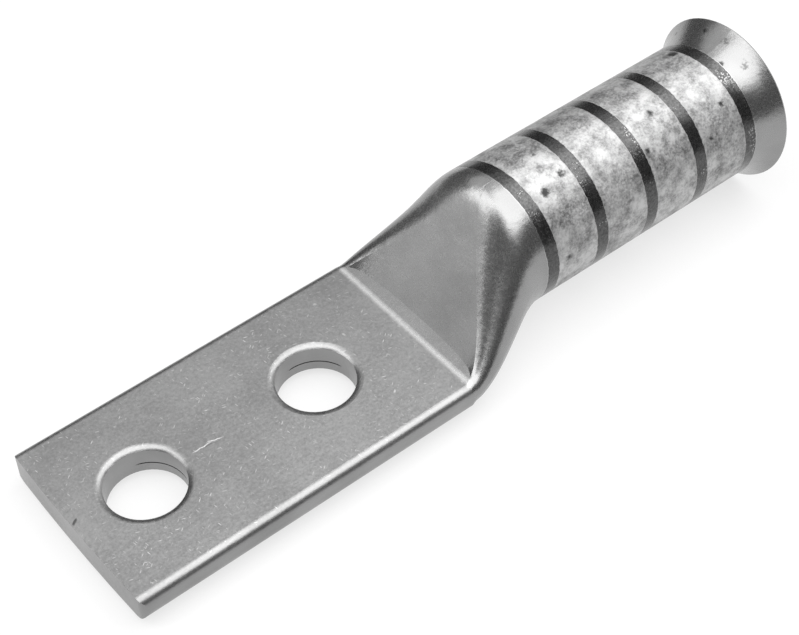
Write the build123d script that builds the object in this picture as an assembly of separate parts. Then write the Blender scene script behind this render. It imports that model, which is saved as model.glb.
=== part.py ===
from build123d import *
from math import atan, degrees, tan
import os

# A two-hole compression cable lug, formed from one length of round tube.
# One end of the tube is flattened into the tongue, whose two holes take the studs.
# The other end stays round as the barrel, with a belled mouth for the conductor.
# Millimetres. +Z is up. +X runs along the lug from the tongue to the mouth.
# The origin is midway between the two holes, on the tongue's underside.

# Tube
barrel_od = 19.9
wall = 2.05

# Tongue, two walls thick
tongue_length = 49.35
tongue_width = 28.3
top_edge_radius = 1.3
bottom_edge_radius = 1.9
tip_corner_radius = 1.0
tip_crown = 0.3

# Stud holes, with the rolled top rim that the punch leaves
hole_diameter = 10.3
hole_spacing = 25.4
hole_to_tip = 10.15
rim_roll_width = 0.9
rim_roll_depth = 0.4

# Closed seam between the two walls, open only as a sliver in each hole
seam_height = 1.4
seam_gap = 0.18
seam_depth = 0.4
seam_radius = 4.3
tip_hole_seam_turn = 32.0
inner_hole_seam_turn = 56.0

# Step at the end of the tongue, and the ledge that the press leaves behind it
step_height = 0.2
step_run = 0.6
ledge_run = 1.7
ledge_rise = 0.2

# Ramp: a straight facet that rounds over onto the barrel, sunk at its foot between the sides
ramp_length = 15.15
round_over_run = 4.0
ramp_stations = 8
sag_fade = 7.2
sag_fullness = 0.7
side_foot_slope = 0.1
side_bias = 0.1
side_flat = 0.06
barrel_lift = 0.45

# Barrel and belled mouth
overall_length = 106.3
flare_length = 5.0
lip_diameter = 23.9
mouth_diameter = 20.2
lip_bevel = 0.25

# Derived sizes, places along X and heights along Z
tongue_thickness = 2 * wall
half_width = tongue_width / 2
hole_radius = hole_diameter / 2
barrel_radius = barrel_od / 2
bore_radius = barrel_radius - wall
tip_x = -hole_spacing / 2 - hole_to_tip
crease_x = tip_x + tongue_length
ledge_x = crease_x + step_run
barrel_x = ledge_x + ramp_length
mouth_x = tip_x + overall_length
flare_x = mouth_x - flare_length
axis_z = barrel_radius + barrel_lift
crown_z = axis_z + barrel_radius
step_top_z = tongue_thickness + step_height
ledge_top_z = step_top_z + ledge_rise
facet_run = ramp_length - ledge_run - 2 * round_over_run / 3
facet_slope = (crown_z - ledge_top_z) / facet_run
cavity_shift = wall * tan(atan(facet_slope) / 2)
foot_top_share = top_edge_radius / (top_edge_radius + bottom_edge_radius)


def ease(u, first_slope):
    """Cubic from 0 to 1 as u goes from 0 to 1, with its slope at 0 given and level at 1."""
    return 3 * u**2 - 2 * u**3 + first_slope * (u**3 - 2 * u**2 + u)


def facet_z(u):
    """Height of the facet's middle line: straight up, then rounding over onto the barrel."""
    to_barrel = ramp_length * (1 - u)
    if to_barrel > round_over_run:
        return crown_z - facet_slope * (to_barrel - 2 * round_over_run / 3)
    return crown_z - facet_slope * round_over_run / 3 * (to_barrel / round_over_run) ** 3


def blend(start, end, amount):
    """Value that lies the given amount of the way from start to end."""
    return start + (end - start) * amount


def cross_plane(x, z):
    """Plane across the tube at x, with Y to its right and its centre at height z."""
    return Plane(origin=(x, 0, z), x_dir=(0, 1, 0), z_dir=(1, 0, 0))


def oblong(x, half_w, bottom, top, top_r, bottom_r, sag=0):
    """Outline of the pressed tube at x, with rounded corners and a top that may sag."""
    inner_top = half_w - top_r
    inner_bottom = half_w - bottom_r
    high = top - top_r
    low = bottom + bottom_r
    top_edge = Line((inner_top, top), (-inner_top, top))
    if sag:
        pull = (inner_top * sag_fullness, top - 4 / 3 * sag)
        top_edge = Bezier((inner_top, top), pull, (-pull[0], pull[1]), (-inner_top, top))
    edges = [
        Line((-inner_bottom, bottom), (inner_bottom, bottom)),
        CenterArc((inner_bottom, low), bottom_r, -90, 90),
        Line((half_w, low), (half_w, high)),
        CenterArc((inner_top, high), top_r, 0, 90),
        top_edge,
        CenterArc((-inner_top, high), top_r, 90, 90),
        Line((-half_w, high), (-half_w, low)),
        CenterArc((-inner_bottom, low), bottom_r, 180, 90),
    ]
    return cross_plane(x, 0) * make_face(edges)


def ring(x, radius):
    """Outline of the round tube at x, in the same eight edges as the pressed one."""
    short_turn = degrees(side_flat / radius)
    long_turn = 90 - short_turn
    edges = []
    angle = -90 - short_turn / 2
    for turn in [short_turn, long_turn] * 4:
        edges.append(CenterArc((0, 0), radius, angle, turn))
        angle += turn
    return cross_plane(x, axis_z) * make_face(edges)


def ramp_section(x, u, inset, bottom, top, sag=0):
    """Outline of the tube at u along the ramp, fully rounded at its sides."""
    half_w = blend(half_width, barrel_radius, ease(u, side_foot_slope)) - inset
    swing = ease(u, 1)
    top_share = blend(foot_top_share, 0.5, swing) + side_bias * 4 * swing * (1 - swing)
    both_radii = top - bottom - side_flat
    top_r = both_radii * top_share
    return oblong(x, half_w, bottom, top, top_r, both_radii - top_r, sag)


def outer_section(u):
    """Outside of the ramp at u, whose sides stand above the sunken foot of the facet."""
    x = ledge_x + ramp_length * u
    if u == 1:
        return ring(x, barrel_radius)
    sag = (step_top_z - facet_z(0)) * (1 - u) ** sag_fade
    return ramp_section(x, u, 0, barrel_lift * u, facet_z(u) + sag, sag)


def inner_section(u):
    """Cavity of the ramp at u, one wall inside the facet."""
    x = ledge_x + ramp_length * u + cavity_shift
    if u == 1:
        return ring(x, bore_radius)
    bottom = blend(seam_height, barrel_lift + wall, u)
    top = max(facet_z(u) - wall, seam_height + step_height)
    return ramp_section(x, u, wall, bottom, top)


def along_ramp(section):
    """The given section at each station, from the foot of the ramp to the round barrel."""
    return [section(k / ramp_stations) for k in range(ramp_stations + 1)]


def make_tongue():
    """Both walls pressed flat together, with rolled side edges and a crowned tip."""
    section = oblong(
        tip_x, half_width, 0, tongue_thickness, top_edge_radius, bottom_edge_radius
    )
    bar = extrude(section, crease_x - tip_x)
    shoulder_x = tip_x + tip_crown
    plan = make_face(
        [
            ThreePointArc((shoulder_x, half_width), (tip_x, 0), (shoulder_x, -half_width)),
            Line((shoulder_x, -half_width), (crease_x, -half_width)),
            Line((crease_x, -half_width), (crease_x, half_width)),
            Line((crease_x, half_width), (shoulder_x, half_width)),
        ]
    )
    tip_corners = plan.vertices().sort_by(Axis.X)[:2]
    return bar & extrude(fillet(tip_corners, tip_corner_radius), tongue_thickness)


def make_step():
    """Small step up at the crease, and the ledge that runs on from it to the facet."""
    crease = oblong(
        crease_x, half_width, 0, tongue_thickness, top_edge_radius, bottom_edge_radius
    )
    step_top = ramp_section(ledge_x, 0, 0, 0, step_top_z)
    ledge_end_x = ledge_x + ledge_run
    side_view = Polyline(
        (ledge_x, seam_height),
        (ledge_end_x, seam_height),
        (ledge_end_x, ledge_top_z),
        (ledge_x, step_top_z),
        close=True,
    )
    reach = half_width - (step_top_z - side_flat) * foot_top_share
    ledge = extrude(Plane.XZ * make_face(side_view), reach, both=True)
    return loft([crease, step_top], ruled=True) + ledge


def make_barrel():
    """Round barrel: the bore bells out at the mouth, and is closed at the ramp."""
    bore_x = barrel_x + cavity_shift
    lip_radius = lip_diameter / 2
    mouth_radius = mouth_diameter / 2
    section = make_face(
        [
            Line((barrel_x, 0), (barrel_x, barrel_radius)),
            Line((barrel_x, barrel_radius), (flare_x, barrel_radius)),
            TangentArc((flare_x, barrel_radius), (mouth_x, lip_radius), tangent=(1, 0)),
            Line((mouth_x, lip_radius), (mouth_x, mouth_radius)),
            TangentArc((flare_x, bore_radius), (mouth_x, mouth_radius), tangent=(1, 0)),
            Line((flare_x, bore_radius), (bore_x, bore_radius)),
            Line((bore_x, bore_radius), (bore_x, 0)),
            Line((bore_x, 0), (barrel_x, 0)),
        ]
    )
    lip_corners = section.vertices().group_by(Axis.X)[-1]
    upright = Plane(origin=(0, 0, axis_z), x_dir=(1, 0, 0), z_dir=(0, -1, 0))
    outline = upright * chamfer(lip_corners, lip_bevel)
    return revolve(outline, Axis((0, 0, axis_z), (1, 0, 0)))


def make_cavity():
    """Space where the bore narrows under the ramp, down to the line where the walls close."""
    closed_top = seam_height + seam_gap
    closed_r = seam_gap / 3
    closed_end = oblong(
        crease_x, half_width - wall, seam_height, closed_top, closed_r, closed_r
    )
    return loft([closed_end] + along_ramp(inner_section), ruled=True)


def make_hole(x, seam_turn):
    """Cutter for one stud hole, with its rolled top rim and the sliver of open seam."""
    centre = Pos(x, 0, 0)
    shank = extrude(centre * Circle(hole_radius), tongue_thickness)
    roll_bottom = tongue_thickness - rim_roll_depth
    roll_radius = hole_radius + rim_roll_width
    profile = make_face(
        [
            Line((0, tongue_thickness), (roll_radius, tongue_thickness)),
            TangentArc(
                (roll_radius, tongue_thickness), (hole_radius, roll_bottom), tangent=(-1, 0)
            ),
            Line((hole_radius, roll_bottom), (0, roll_bottom)),
            Line((0, roll_bottom), (0, tongue_thickness)),
        ]
    )
    roll = centre * revolve(Plane.XZ * profile, Axis.Z)
    turned = Pos(x, 0, seam_height - seam_gap / 2) * Rot(0, 0, seam_turn)
    seam = turned * Pos(hole_radius + seam_depth - seam_radius, 0, 0) * Circle(seam_radius)
    return shank + roll + extrude(seam, seam_gap)


def make_lug():
    """The whole lug, one piece of tube."""
    ramp = loft(along_ramp(outer_section))
    lug = make_tongue() + make_step() + ramp + make_barrel() - make_cavity()
    lug -= make_hole(-hole_spacing / 2, tip_hole_seam_turn)
    lug -= make_hole(hole_spacing / 2, inner_hole_seam_turn)
    return lug


lug = make_lug()
lug.label = "lug_body"
os.makedirs("parts", exist_ok=True)
export_step(lug, "parts/lug_body.step")
print("lug_body", round(lug.volume), "mm3", len(lug.solids()), "solid", lug.bounding_box())
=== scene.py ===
from math import radians

import bmesh
import bpy
from mathutils import Matrix, Vector


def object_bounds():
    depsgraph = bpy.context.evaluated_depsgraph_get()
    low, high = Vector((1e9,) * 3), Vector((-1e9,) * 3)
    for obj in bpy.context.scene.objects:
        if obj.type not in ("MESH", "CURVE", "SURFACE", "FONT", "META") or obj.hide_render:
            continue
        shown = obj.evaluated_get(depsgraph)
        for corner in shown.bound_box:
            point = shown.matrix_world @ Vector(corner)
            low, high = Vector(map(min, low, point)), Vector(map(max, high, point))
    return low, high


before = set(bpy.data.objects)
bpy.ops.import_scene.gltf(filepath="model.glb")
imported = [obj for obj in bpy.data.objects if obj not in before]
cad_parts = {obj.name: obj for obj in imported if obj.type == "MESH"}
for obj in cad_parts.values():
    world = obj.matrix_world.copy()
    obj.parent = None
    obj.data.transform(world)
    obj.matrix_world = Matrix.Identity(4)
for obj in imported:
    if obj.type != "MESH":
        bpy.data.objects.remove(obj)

bl_info = {
    "name": "Compression cable lug",
    "version": (1, 0, 0),
    "blender": (4, 5, 0),
    "location": "View3D > Sidebar > Cable lug",
    "description": "Plates the two-hole compression cable lug and sets its studio",
    "category": "Object",
}

# Blender works in metres. Sizes inside the materials are in millimetres, and a texture's scale
# is its cells per millimetre.
MM = 0.001
CAD_BOX = [list(corner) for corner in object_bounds()]
FLOOR_Z = CAD_BOX[0][2]

# Places on the lug, in millimetres. The skin's radius lies between the bore and the outside.
AXIS_Z = 10.4
SKIN_RADIUS = 9.0
CREASE_START_X = 26.5
CREASE_X = 26.65
FOOT_START_X = 28.2
FOOT_FULL_X = 30.0
FOOT_END_X = 36.0

# A face is level where the Z of its normal is over this.
LEVEL_NORMAL_Z = 0.9

# In millimetres: the width of the painted highlight along each edge of a band, the span in
# which edges wander, and how far noise pulls the long scratch and the pits about.
EDGE_GLINT_WIDTH = 0.09
EDGE_WANDER = 0.28
SCRATCH_PULL = (0.5, 0.5, 0)
PIT_PULL = (1.1, 1.1, 1.1)

# Cells per millimetre along and across the fine scratches.
TICK_CELLS = (0.9, 4.4, 0)

# Middle and reach in millimetres of each patch of scuffs on the bell.
SCUFF_PATCHES = (((81.9, -0.4, 21.2), 1.5), ((81.4, -4.6, 19.9), 1.7))

# Greys of the wear and of the painted shade and highlights, as sRGB.
TICK_GREY = "d8d8d8"
SCRATCH_GREY = "e8e8e8"
# Painted shade beside the long scratch.
SCRATCH_SHADE_GREY = "585858"
# Painted shade for a nick in the tip's edge.
NICK_SHADE_GREY = "404040"
# Painted highlight along the crease.
CREASE_HIGHLIGHT_GREY = "c4c4c4"
# Painted shade at the foot of the facet.
FOOT_SHADE_GREY = "404040"
PIT_GREY = "444444"
SCUFF_GREY = "5c5c5c"
# Painted highlight, a glint, along each edge of the bands.
EDGE_GLINT_GREY = "a4a4a4"
CHIP_GREY = "949494"

# Studio, in metres and in degrees from +X towards +Y.
FLOOR_RADIUS = 3.0
CARD_STEPS = 24
# First direction, last direction and height of each dark card.
CARDS = {
    "card_front": (157, 340, 0.45),
    "card_tip": (170, 250, 0.65),
    "card_back": (35, 128, 0.36),
}
OVERHEAD_X = 0.19
OVERHEAD_Y = -0.14
END_SOFTBOX_LENGTH = 0.32
END_SOFTBOX_WIDTH = 0.42
END_SOFTBOX_PLACE = (-0.41, 0.27, 0.41)


def linear(hex_colour):
    """Linear red, green and blue of an sRGB colour written as RRGGBB."""
    parts = [int(hex_colour[i:i + 2], 16) / 255 for i in (0, 2, 4)]
    return [c / 12.92 if c <= 0.04045 else ((c + 0.055) / 1.055) ** 2.4 for c in parts]


def node(tree, kind, settings=None, inputs=None, output=0):
    """Add a node, set it, fill its inputs with values or links, and return an output."""
    made = tree.nodes.new(kind)
    for name, value in (settings or {}).items():
        setattr(made, name, value)
    for key, value in (inputs or {}).items():
        if isinstance(value, bpy.types.NodeSocket):
            tree.links.new(value, made.inputs[key])
        else:
            made.inputs[key].default_value = value
    return made.outputs[output]


# Materials

def new_material(name):
    """A named material, with its node tree and its shader."""
    material = bpy.data.materials.new(name)
    material.use_nodes = True
    tree = material.node_tree
    return material, tree, tree.nodes["Principled BSDF"]


def band_mask(tree, look, y, wavy_x, spare):
    """Where the bands are, each made wider by the spare width along both of its edges."""
    half_width = look.band_width / MM / 2 + spare
    mask = 0
    for place, tilt in zip(look.band_places, look.band_tilts):
        along = node(tree, "ShaderNodeMath", {"operation": "MULTIPLY_ADD"},
                     {0: y, 1: tilt, 2: wavy_x})
        band = node(tree, "ShaderNodeMath", {"operation": "COMPARE"},
                    {0: along, 1: place / MM, 2: half_width})
        mask = node(tree, "ShaderNodeMath", {"operation": "MAXIMUM"}, {0: mask, 1: band})
    return mask


def smooth_tin(tree, look, mm, flat, grain):
    """Tin with faint clouds some 8 mm wide, and with the grain, stronger on the tongue."""
    clouds = node(tree, "ShaderNodeTexNoise", None,
                  {"Vector": mm, "Scale": 0.12, "Detail": 3.0})
    grain_share = node(tree, "ShaderNodeMapRange", None,
                       {"Value": flat, "To Min": 0.15, "To Max": 1.3})
    off_grain = node(tree, "ShaderNodeMath", {"operation": "SUBTRACT"}, {0: grain, 1: 0.5})
    tone = node(tree, "ShaderNodeMath", {"operation": "MULTIPLY_ADD"},
                {0: off_grain, 1: grain_share, 2: clouds})
    tone = node(tree, "ShaderNodeMapRange", None,
                {"Value": tone, "From Min": 0.25, "From Max": 0.75})
    return node(tree, "ShaderNodeMix", {"data_type": "RGBA"},
                {0: tone, 6: (*look.dull_tin_colour, 1), 7: (*look.tin_colour, 1)}, 2)


def scratched(tree, mm, tin, flat):
    """Tin with the fine scratches of handling on the flat of the tongue.

    They are bright ticks 0.1 mm wide and up to 0.6 mm long, in three directions. About one in
    eight cells of a quarter of a square millimetre holds one. They are stronger in some places
    than in others.
    """
    ticks = 0
    # Turn in degrees and shift in millimetres of each direction's own pattern.
    for turn, shift in ((20, 0), (-38, 40), (80, 90)):
        turned = node(tree, "ShaderNodeMapping", None,
                      {"Vector": mm, "Location": (shift, 0, 0),
                       "Rotation": (0, 0, radians(turn))})
        drawn_out = node(tree, "ShaderNodeVectorMath", {"operation": "MULTIPLY"},
                         {0: turned, 1: TICK_CELLS})
        away = node(tree, "ShaderNodeTexVoronoi", {"voronoi_dimensions": "2D"},
                    {"Vector": drawn_out, "Scale": 1.0}, "Distance")
        luck = node(tree, "ShaderNodeSeparateColor", None, {0: away.node.outputs["Color"]})
        reach = node(tree, "ShaderNodeMapRange", None,
                     {"Value": luck, "From Min": 0.88, "From Max": 1.0,
                      "To Min": 0.0, "To Max": 0.32})
        depth = node(tree, "ShaderNodeMath", {"operation": "SUBTRACT"}, {0: reach, 1: away})
        tick = node(tree, "ShaderNodeMapRange", None,
                    {"Value": depth, "From Min": 0.0, "From Max": 0.12})
        ticks = node(tree, "ShaderNodeMath", {"operation": "MAXIMUM"}, {0: ticks, 1: tick})
    handled = node(tree, "ShaderNodeTexNoise", None,
                   {"Vector": mm, "Scale": 0.35, "Detail": 3.0})
    strength = node(tree, "ShaderNodeMapRange", None,
                    {"Value": handled, "From Min": 0.42, "From Max": 0.68,
                     "To Min": 0.15, "To Max": 0.8})
    strength = node(tree, "ShaderNodeMath", {"operation": "MULTIPLY"}, {0: strength, 1: flat})
    ticks = node(tree, "ShaderNodeMath", {"operation": "MULTIPLY"}, {0: ticks, 1: strength})
    return node(tree, "ShaderNodeMix", {"data_type": "RGBA"},
                {0: ticks, 6: tin, 7: (*linear(TICK_GREY), 1)}, 2)


def marked(tree, mm, tin, level):
    """Tin with one long scratch between the holes and painted shade beside it, and painted
    shade for a nick in the tip's top edge.
    """
    shake = node(tree, "ShaderNodeTexNoise", None,
                 {"Vector": mm, "Scale": 1.2, "Detail": 3.0}, "Color")
    shaken = node(tree, "ShaderNodeVectorMath", {"operation": "MULTIPLY_ADD"},
                  {0: shake, 1: SCRATCH_PULL, 2: mm})
    # Middle, turn in degrees, half length and half width, grey and strength of each stroke.
    for middle, turn, size, grey, strength in (
        ((-4.1, 0.25), 0, (1.5, 0.1), SCRATCH_GREY, 0.8),
        ((-2.3, 0.25), -14, (1.2, 0.1), SCRATCH_GREY, 0.8),
        # Painted shade beside the long scratch.
        ((-3.2, 0.0), -8, (1.6, 0.07), SCRATCH_SHADE_GREY, 0.5),
        # Painted shade for a nick in the tip's top edge.
        ((-21.9, 0.7), 35, (0.6, 0.22), NICK_SHADE_GREY, 0.8),
    ):
        # The third size is so large that the height of a point doesn't count.
        stroke = node(tree, "ShaderNodeMapping", {"vector_type": "TEXTURE"},
                      {"Vector": shaken, "Location": (*middle, 0),
                       "Rotation": (0, 0, radians(turn)), "Scale": (*size, 100)})
        away = node(tree, "ShaderNodeVectorMath", {"operation": "LENGTH"},
                    {0: stroke}, "Value")
        inside = node(tree, "ShaderNodeMapRange", None,
                      {"Value": away, "From Min": 0.6, "From Max": 1.1,
                       "To Min": strength, "To Max": 0.0})
        inside = node(tree, "ShaderNodeMath", {"operation": "MULTIPLY"}, {0: inside, 1: level})
        tin = node(tree, "ShaderNodeMix", {"data_type": "RGBA"},
                   {0: inside, 6: tin, 7: (*linear(grey), 1)}, 2)
    return tin


def crease_highlight_and_foot_shade(tree, x, z, wavy_x, tin, level):
    """Tin with a painted highlight along the crease, and painted shade, a little darker, at the
    foot of the facet.
    """
    off_crease = node(tree, "ShaderNodeMath", {"operation": "SUBTRACT"},
                      {0: wavy_x, 1: CREASE_X})
    off_crease = node(tree, "ShaderNodeMath", {"operation": "ABSOLUTE"}, {0: off_crease})
    # Painted highlight along the crease.
    crease = node(tree, "ShaderNodeMapRange", None,
                  {"Value": off_crease, "From Min": 0.08, "From Max": 0.55,
                   "To Min": 1.0, "To Max": 0.0})
    crease = node(tree, "ShaderNodeMath", {"operation": "MULTIPLY"}, {0: crease, 1: level})
    tin = node(tree, "ShaderNodeMix", {"data_type": "RGBA"},
               {0: crease, 6: tin, 7: (*linear(CREASE_HIGHLIGHT_GREY), 1)}, 2)

    # The painted shade at the foot starts about the end of the ledge, and fades with the
    # height.
    foot = node(tree, "ShaderNodeMapRange", {"interpolation_type": "SMOOTHSTEP"},
                {"Value": z, "From Min": 5.0, "From Max": 11.0, "To Min": 0.05, "To Max": 0.0})
    past_ledge = node(tree, "ShaderNodeMapRange", None,
                      {"Value": x, "From Min": FOOT_START_X, "From Max": FOOT_FULL_X})
    before_barrel = node(tree, "ShaderNodeMath", {"operation": "LESS_THAN"},
                         {0: x, 1: FOOT_END_X})
    for limit in (past_ledge, before_barrel):
        foot = node(tree, "ShaderNodeMath", {"operation": "MULTIPLY"}, {0: foot, 1: limit})
    return node(tree, "ShaderNodeMix", {"data_type": "RGBA"},
                {0: foot, 6: tin, 7: (*linear(FOOT_SHADE_GREY), 1)}, 2)


def frosted_tin(tree, look, mm, mottle):
    """Tin with the fine mottle, in soft clouds 2 to 3 mm wide."""
    drift = node(tree, "ShaderNodeTexNoise", None,
                 {"Vector": mm, "Scale": 0.45, "Detail": 4.0, "Roughness": 0.6})
    tone = node(tree, "ShaderNodeMath", {"operation": "MULTIPLY_ADD"},
                {0: drift, 1: 1.2, 2: mottle})
    tone = node(tree, "ShaderNodeMapRange", None,
                {"Value": tone, "From Min": 0.86, "From Max": 1.28})
    return node(tree, "ShaderNodeMix", {"data_type": "RGBA"},
                {0: tone, 6: (*look.cloud_colour, 1), 7: (*look.frost_colour, 1)}, 2)


def pit_mask(tree, mm):
    """Ragged pits with soft edges, from specks up to 1.2 mm wide."""
    ragged = node(tree, "ShaderNodeTexNoise", None,
                  {"Vector": mm, "Scale": 1.6, "Detail": 4.0, "Roughness": 0.65}, "Color")
    spot = node(tree, "ShaderNodeVectorMath", {"operation": "MULTIPLY_ADD"},
                {0: ragged, 1: PIT_PULL, 2: mm})
    away = node(tree, "ShaderNodeTexVoronoi", None, {"Vector": spot, "Scale": 0.3}, "Distance")
    luck = node(tree, "ShaderNodeSeparateColor", None, {0: away.node.outputs["Color"]})
    reach = node(tree, "ShaderNodeMapRange", None,
                 {"Value": luck, "From Min": 0.4, "From Max": 1.0,
                  "To Min": 0.0, "To Max": 0.19})
    depth = node(tree, "ShaderNodeMath", {"operation": "SUBTRACT"}, {0: reach, 1: away})
    return node(tree, "ShaderNodeMapRange", None,
                {"Value": depth, "From Min": -0.06, "From Max": 0.05})


def scuff_mask(tree, mm):
    """Two patches of dark scuffs on the crown of the bell, thickest in their middles."""
    scuffs = node(tree, "ShaderNodeTexNoise", None,
                  {"Vector": mm, "Scale": 2.4, "Detail": 6.0, "Roughness": 0.7})
    mask = 0
    for middle, patch_reach in SCUFF_PATCHES:
        away = node(tree, "ShaderNodeVectorMath", {"operation": "DISTANCE"},
                    {0: mm, 1: middle}, "Value")
        limit = node(tree, "ShaderNodeMapRange", None,
                     {"Value": away, "From Min": 0.0, "From Max": patch_reach,
                      "To Min": 0.35, "To Max": 0.78})
        depth = node(tree, "ShaderNodeMath", {"operation": "SUBTRACT"}, {0: scuffs, 1: limit})
        patch = node(tree, "ShaderNodeMapRange", None,
                     {"Value": depth, "From Min": 0.0, "From Max": 0.12, "To Max": 0.8})
        mask = node(tree, "ShaderNodeMath", {"operation": "MAXIMUM"}, {0: mask, 1: patch})
    return mask


def lacquer_coat(tree, look, mm, mottle):
    """Dark lacquer, uneven, with clusters of light specks where it is chipped."""
    specks = node(tree, "ShaderNodeTexNoise", None,
                  {"Vector": mm, "Scale": 4.5, "Detail": 2.0})
    cluster = node(tree, "ShaderNodeTexNoise", None,
                   {"Vector": mm, "Scale": 0.35, "Detail": 1.0})
    limit = node(tree, "ShaderNodeMapRange", None,
                 {"Value": cluster, "From Min": 0.45, "From Max": 0.7,
                  "To Min": 0.82, "To Max": 0.57})
    chips = node(tree, "ShaderNodeMath", {"operation": "GREATER_THAN"}, {0: specks, 1: limit})
    coat = node(tree, "ShaderNodeMix", {"data_type": "RGBA"},
                {0: chips, 6: (*look.lacquer_colour, 1), 7: (*linear(CHIP_GREY), 1)}, 2)
    uneven = node(tree, "ShaderNodeMapRange", None,
                  {"Value": mottle, "From Min": 0.3, "From Max": 0.7,
                   "To Min": 0.5, "To Max": 1.6})
    return node(tree, "ShaderNodeMix", {"data_type": "RGBA", "blend_type": "MULTIPLY"},
                {0: 1.0, 6: coat, 7: uneven}, 2)


def tinned_copper(look):
    """Copper tube electroplated with tin, a white metal with a soft shine.

    The tongue is matte and finely scratched. The ramp and the bell are smooth. Between the
    bands the tin is frosted and cloudy, with a few pits. The bands are a thin dark lacquer, and
    the shine of the tin still comes through it.
    """
    material, tree, shader = new_material("tin-plated copper")
    shader.inputs["Metallic"].default_value = 1.0

    # Where a point is: in millimetres, on the round skin, on a level face, on the tongue.
    spot = node(tree, "ShaderNodeTexCoord", output="Object")
    mm = node(tree, "ShaderNodeVectorMath", {"operation": "SCALE"}, {0: spot, "Scale": 1 / MM})
    x, y, z = node(tree, "ShaderNodeSeparateXYZ", None, {0: mm}).node.outputs
    from_axis = node(tree, "ShaderNodeVectorMath", {"operation": "MULTIPLY_ADD"},
                     {0: mm, 1: (0, 1, 1), 2: (0, 0, -AXIS_Z)})
    radius = node(tree, "ShaderNodeVectorMath", {"operation": "LENGTH"},
                  {0: from_axis}, "Value")
    outside = node(tree, "ShaderNodeMath", {"operation": "GREATER_THAN"},
                   {0: radius, 1: SKIN_RADIUS})
    normal = node(tree, "ShaderNodeNewGeometry", output="True Normal")
    upward = node(tree, "ShaderNodeSeparateXYZ", None, {0: normal}, "Z")
    level = node(tree, "ShaderNodeMath", {"operation": "GREATER_THAN"},
                 {0: upward, 1: LEVEL_NORMAL_Z})
    on_tongue = node(tree, "ShaderNodeMath", {"operation": "LESS_THAN"},
                     {0: x, 1: CREASE_START_X})
    flat = node(tree, "ShaderNodeMath", {"operation": "MULTIPLY"}, {0: level, 1: on_tongue})

    # The edges of the bands and of the crease wander by up to 0.1 mm.
    wander = node(tree, "ShaderNodeTexNoise", None,
                  {"Vector": mm, "Scale": 1.3, "Detail": 4.0})
    wander = node(tree, "ShaderNodeMath", {"operation": "SUBTRACT"}, {0: wander, 1: 0.5})
    wavy_x = node(tree, "ShaderNodeMath", {"operation": "MULTIPLY_ADD"},
                  {0: wander, 1: EDGE_WANDER, 2: x})

    # Where the lacquer is, where it is with the painted highlight along its edges, and the
    # barrel between the bands.
    lacquer, glinted = [
        node(tree, "ShaderNodeMath", {"operation": "MULTIPLY"},
             {0: band_mask(tree, look, y, wavy_x, spare), 1: outside})
        for spare in (0, EDGE_GLINT_WIDTH)
    ]
    first, last = look.band_places[0] / MM, look.band_places[-1] / MM
    between = node(tree, "ShaderNodeMath", {"operation": "COMPARE"},
                   {0: x, 1: (first + last) / 2, 2: (last - first) / 2})
    frosted = node(tree, "ShaderNodeMath", {"operation": "MULTIPLY"}, {0: between, 1: outside})

    # The grain of smooth tin is 0.4 mm wide, coarser than the real one, which would be too fine
    # to see. The mottle of frosted tin is 0.3 to 0.6 mm wide.
    grain = node(tree, "ShaderNodeTexNoise", None,
                 {"Vector": mm, "Scale": 2.4, "Detail": 4.0, "Roughness": 0.7})
    mottle = node(tree, "ShaderNodeTexNoise", None,
                  {"Vector": mm, "Scale": 2.8, "Detail": 5.0, "Roughness": 0.72})

    # Colour, one over the other: smooth or frosted tin, pits, scuffs, painted highlights along
    # the band edges, lacquer.
    tin = smooth_tin(tree, look, mm, flat, grain)
    tin = scratched(tree, mm, tin, flat)
    tin = marked(tree, mm, tin, level)
    tin = crease_highlight_and_foot_shade(tree, x, z, wavy_x, tin, level)
    frost = frosted_tin(tree, look, mm, mottle)
    surface = node(tree, "ShaderNodeMix", {"data_type": "RGBA"},
                   {0: frosted, 6: tin, 7: frost}, 2)
    pits = pit_mask(tree, mm)
    past_first = node(tree, "ShaderNodeMath", {"operation": "GREATER_THAN"}, {0: x, 1: first})
    for limit in (past_first, outside):
        pits = node(tree, "ShaderNodeMath", {"operation": "MULTIPLY"}, {0: pits, 1: limit})
    scuffs = scuff_mask(tree, mm)
    # Pits and scuffs are wear; the grey along the band edges is a painted highlight.
    for mask, grey in ((pits, PIT_GREY), (scuffs, SCUFF_GREY), (glinted, EDGE_GLINT_GREY)):
        surface = node(tree, "ShaderNodeMix", {"data_type": "RGBA"},
                       {0: mask, 6: surface, 7: (*linear(grey), 1)}, 2)
    coat = lacquer_coat(tree, look, mm, mottle)
    surface = node(tree, "ShaderNodeMix", {"data_type": "RGBA"},
                   {0: lacquer, 6: surface, 7: coat}, 2)
    tree.links.new(surface, shader.inputs["Base Color"])

    # Shine: smooth tin and lacquer reflect clearly, the tongue less, the frosted tin hardly.
    dull = node(tree, "ShaderNodeMath", {"operation": "SUBTRACT"}, {0: frosted, 1: lacquer})
    least_roughness = node(tree, "ShaderNodeMapRange", None,
                           {"Value": on_tongue, "To Min": 0.16, "To Max": 0.24})
    tin_roughness = node(tree, "ShaderNodeMath", {"operation": "MULTIPLY_ADD"},
                         {0: grain, 1: 0.2, 2: least_roughness})
    frost_roughness = node(tree, "ShaderNodeMapRange", None,
                           {"Value": mottle, "From Min": 0.35, "From Max": 0.6,
                            "To Min": 0.42, "To Max": 0.6})
    roughness = node(tree, "ShaderNodeMix", {"data_type": "FLOAT"},
                     {0: dull, 2: tin_roughness, 3: frost_roughness})
    tree.links.new(roughness, shader.inputs["Roughness"])

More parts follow.
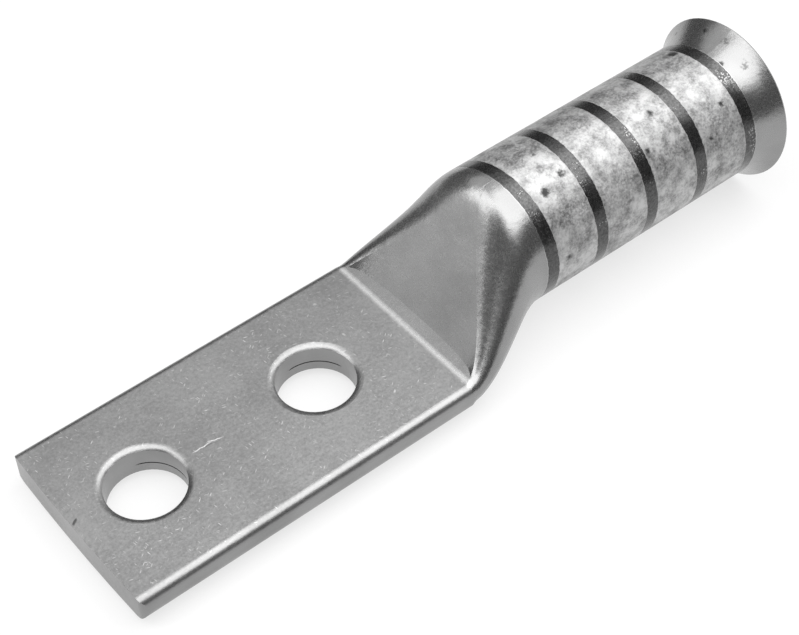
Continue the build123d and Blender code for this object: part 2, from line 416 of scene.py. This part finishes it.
    # Relief: the plating's slight waves 1.5 mm wide under its grain, or the frost's mottle.
    waves = node(tree, "ShaderNodeTexNoise", None, {"Vector": mm, "Scale": 0.7, "Detail": 2.0})
    wavy_grain = node(tree, "ShaderNodeMath", {"operation": "MULTIPLY_ADD"},
                      {0: waves, 1: 2.5, 2: grain})
    relief = node(tree, "ShaderNodeMix", {"data_type": "FLOAT"},
                  {0: dull, 2: wavy_grain, 3: mottle})
    strength = node(tree, "ShaderNodeMapRange", None,
                    {"Value": dull, "To Min": 0.2, "To Max": 0.7})
    bump = node(tree, "ShaderNodeBump", None,
                {"Height": relief, "Strength": strength, "Distance": 0.06 * MM})
    tree.links.new(bump, shader.inputs["Normal"])
    return material


def seen_ray(tree):
    """One for a ray from the camera or from shiny metal, and zero for any other."""
    camera_ray = node(tree, "ShaderNodeLightPath", output="Is Camera Ray")
    glossy_ray = camera_ray.node.outputs["Is Glossy Ray"]
    return node(tree, "ShaderNodeMath", {"operation": "MAXIMUM"},
                {0: camera_ray, 1: glossy_ray})


def studio_paper(look):
    """Seamless white studio paper, matte and even.

    To the camera and in the metal it is nearly white of itself, and keeps a part of its
    shading, so that the lug's shadow stays.
    """
    material, tree, shader = new_material("white studio paper")
    shader.inputs["Base Color"].default_value = (*look.floor_colour, 1)
    shader.inputs["Roughness"].default_value = 0.9
    share = node(tree, "ShaderNodeMath", {"operation": "MULTIPLY"},
                 {0: seen_ray(tree), 1: look.paper_glow})
    white = node(tree, "ShaderNodeEmission", None, {"Color": (1, 1, 1, 1), "Strength": 1.0})
    mixed = node(tree, "ShaderNodeMixShader", None, {0: share, 1: shader.outputs[0], 2: white})
    tree.links.new(mixed, tree.nodes["Material Output"].inputs["Surface"])
    return material


def dark_card(look):
    """Dark matte card, which puts the dark bands into shiny metal."""
    material, _, shader = new_material("dark matte card")
    shader.inputs["Base Color"].default_value = (*look.card_colour, 1)
    shader.inputs["Roughness"].default_value = 1.0
    return material


# Sizes and colours

class LugLook(bpy.types.PropertyGroup):
    """Sizes and colours of the lug's finish."""

    tin_colour: bpy.props.FloatVectorProperty(
        name="Tin", description="Colour of the smooth tin plating",
        default=linear("9a9a9a"), min=0, max=1, subtype="COLOR",
    )
    dull_tin_colour: bpy.props.FloatVectorProperty(
        name="Dull tin", description="Colour of the duller clouds in the smooth tin",
        default=linear("878787"), min=0, max=1, subtype="COLOR",
    )
    frost_colour: bpy.props.FloatVectorProperty(
        name="Frosted tin", description="Colour of the frosted tin between the bands",
        default=linear("c4c4c4"), min=0, max=1, subtype="COLOR",
    )
    cloud_colour: bpy.props.FloatVectorProperty(
        name="Clouds", description="Colour of the darker clouds in the frosted tin",
        default=linear("787878"), min=0, max=1, subtype="COLOR",
    )
    lacquer_colour: bpy.props.FloatVectorProperty(
        name="Lacquer", description="Colour of the bands round the barrel",
        default=linear("515151"), min=0, max=1, subtype="COLOR",
    )
    band_width: bpy.props.FloatProperty(
        name="Band width", description="Width of each lacquer band",
        default=1.85 * MM, unit="LENGTH", subtype="DISTANCE",
    )
    band_places: bpy.props.FloatVectorProperty(
        name="Band places", description="Middle of each band along the lug",
        size=5, unit="LENGTH",
        default=[place * MM for place in (42.55, 51.48, 60.2, 69.05, 77.92)],
    )
    band_tilts: bpy.props.FloatVectorProperty(
        name="Band tilts", description="Run of each band along the lug, per unit across it",
        size=5, default=(0.065, 0.015, 0.015, 0.03, 0.05),
    )


class StageLook(bpy.types.PropertyGroup):
    """Sizes, colours and lights of the studio."""

    floor_colour: bpy.props.FloatVectorProperty(
        name="Paper", description="Colour of the studio paper",
        default=linear("f4f4f4"), min=0, max=1, subtype="COLOR",
    )
    paper_glow: bpy.props.FloatProperty(
        name="Paper glow", description="Share of plain white in the paper that is seen",
        default=0.7, min=0, max=1, subtype="FACTOR",
    )
    card_colour: bpy.props.FloatVectorProperty(
        name="Card", description="Colour of the dark cards",
        default=linear("6e6e6e"), min=0, max=1, subtype="COLOR",
    )
    card_distance: bpy.props.FloatProperty(
        name="Card distance", description="From the lug to the dark cards",
        default=0.5, unit="LENGTH", subtype="DISTANCE",
    )
    softbox_length: bpy.props.FloatProperty(
        name="Softbox length", description="Length of the overhead softbox, along the lug",
        default=1.14, unit="LENGTH", subtype="DISTANCE",
    )
    softbox_width: bpy.props.FloatProperty(
        name="Softbox width", description="Width of the overhead softbox, across the lug",
        default=0.7, unit="LENGTH", subtype="DISTANCE",
    )
    softbox_height: bpy.props.FloatProperty(
        name="Softbox height", description="Height of the overhead softbox over the lug",
        default=0.6, unit="LENGTH", subtype="DISTANCE",
    )
    light_level: bpy.props.FloatProperty(
        name="Light level", description="Watts per square metre of each softbox's face",
        default=7.5,
    )
    fill_level: bpy.props.FloatProperty(
        name="Fill level", description="Strength of the white light from all round",
        default=0.35, min=0,
    )


# Operators

class LUG_OT_body(bpy.types.Operator):
    """Plate the lug: smooth tin, frosted tin and lacquer bands"""

    bl_idname = "lug.body"
    bl_label = "Lug body"

    def execute(self, context):
        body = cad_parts["lug_body"]
        body.data.materials.clear()
        body.data.materials.append(tinned_copper(context.scene.lug_look))
        return {"FINISHED"}


class LUG_OT_stage(bpy.types.Operator):
    """Set the floor, the cards, the lights and the camera"""

    bl_idname = "lug.stage"
    bl_label = "Studio stage"

    def add_prop(self, scene, name, bm, material):
        """Turn a bmesh into a named piece of the stage."""
        mesh = bpy.data.meshes.new(name)
        bm.to_mesh(mesh)
        bm.free()
        mesh.materials.append(material)
        prop = bpy.data.objects.new(name, mesh)
        scene.collection.objects.link(prop)
        return prop

    def add_floor(self, scene, look):
        """Lay a round sheet of paper under the lug."""
        bm = bmesh.new()
        bmesh.ops.create_circle(bm, cap_ends=True, radius=FLOOR_RADIUS, segments=64)
        bmesh.ops.translate(bm, verts=bm.verts, vec=(0, 0, FLOOR_Z))
        self.add_prop(scene, "floor", bm, studio_paper(look))

    def add_card(self, scene, look, name, first, last, height):
        """Spin an upright line round the lug into a card that only reflections see."""
        bm = bmesh.new()
        foot = bm.verts.new((look.card_distance, 0, FLOOR_Z))
        head = bm.verts.new((look.card_distance, 0, FLOOR_Z + height))
        edge = bm.edges.new((foot, head))
        bmesh.ops.rotate(bm, verts=[foot, head], cent=(0, 0, 0),
                         matrix=Matrix.Rotation(radians(first), 3, "Z"))
        bmesh.ops.spin(bm, geom=[foot, head, edge], cent=(0, 0, 0), axis=(0, 0, 1),
                       angle=radians(last - first), steps=CARD_STEPS, use_merge=False)
        card = self.add_prop(scene, name, bm, dark_card(look))
        card.visible_camera = False
        card.visible_diffuse = False
        card.visible_shadow = False

    def add_softbox(self, scene, look, name, length, width, place):
        """Hang a softbox that faces down, with its power in proportion to its face."""
        lamp = bpy.data.lights.new(name, "AREA")
        lamp.shape = "RECTANGLE"
        lamp.size = length
        lamp.size_y = width
        lamp.energy = look.light_level * length * width
        softbox = bpy.data.objects.new(name, lamp)
        softbox.location = place
        scene.collection.objects.link(softbox)
        return softbox

    def add_world(self, scene, look):
        """Make it white to the camera and in the metal, and a weak fill for all else."""
        world = bpy.data.worlds.new("studio")
        scene.world = world
        world.use_nodes = True
        tree = world.node_tree
        strength = node(tree, "ShaderNodeMapRange", None,
                        {"Value": seen_ray(tree), "To Min": look.fill_level, "To Max": 1.0})
        background = tree.nodes["Background"]
        background.inputs["Color"].default_value = (1, 1, 1, 1)
        tree.links.new(strength, background.inputs["Strength"])

    def add_camera(self, scene):
        """Set the photo's camera, from a fit of the lug's outline."""
        lens = bpy.data.cameras.new("camera")
        lens.sensor_width = 36
        lens.sensor_fit = "HORIZONTAL"
        lens.lens = 82.85
        lens.clip_start = 0.01
        camera = bpy.data.objects.new("camera", lens)
        place = Matrix.Translation((-0.06975, -0.12464, 0.17731))
        right = Vector((0.777769, -0.628178, -0.021636))
        up = Vector((0.474628, 0.564390, 0.675420))
        back = Vector((-0.412073, -0.535590, 0.737116))
        camera.matrix_world = place @ Matrix((right, up, back)).transposed().to_4x4()
        scene.collection.objects.link(camera)
        scene.camera = camera

    def execute(self, context):
        scene = context.scene
        look = scene.lug_stage
        self.add_floor(scene, look)
        for name, (first, last, height) in CARDS.items():
            self.add_card(scene, look, name, first, last, height)
        self.add_softbox(scene, look, "overhead softbox", look.softbox_length,
                         look.softbox_width, (OVERHEAD_X, OVERHEAD_Y, look.softbox_height))
        end_softbox = self.add_softbox(scene, look, "end softbox", END_SOFTBOX_LENGTH,
                                       END_SOFTBOX_WIDTH, END_SOFTBOX_PLACE)
        to_lug = end_softbox.location.to_track_quat("Z", "Y")
        end_softbox.rotation_euler = to_lug.to_euler()
        self.add_world(scene, look)
        self.add_camera(scene)
        scene.view_settings.view_transform = "Standard"
        return {"FINISHED"}


class LUG_PT_panel(bpy.types.Panel):
    """Buttons and settings of the lug and its stage"""

    bl_idname = "LUG_PT_panel"
    bl_label = "Cable lug"
    bl_space_type = "VIEW_3D"
    bl_region_type = "UI"
    bl_category = "Cable lug"

    def draw(self, context):
        for look, button in (
            (context.scene.lug_look, "lug.body"),
            (context.scene.lug_stage, "lug.stage"),
        ):
            for name in look.__annotations__:
                self.layout.prop(look, name)
            self.layout.operator(button)


CLASSES = (LugLook, StageLook, LUG_OT_body, LUG_OT_stage, LUG_PT_panel)


def register():
    """Register the classes, and give each scene its looks."""
    for cls in CLASSES:
        bpy.utils.register_class(cls)
    bpy.types.Scene.lug_look = bpy.props.PointerProperty(type=LugLook)
    bpy.types.Scene.lug_stage = bpy.props.PointerProperty(type=StageLook)


def unregister():
    """Take away what register added."""
    del bpy.types.Scene.lug_stage
    del bpy.types.Scene.lug_look
    for cls in reversed(CLASSES):
        bpy.utils.unregister_class(cls)


def main():
    register()
    bpy.ops.lug.body()
    bpy.ops.lug.stage()


if __name__ == "__main__":
    main()
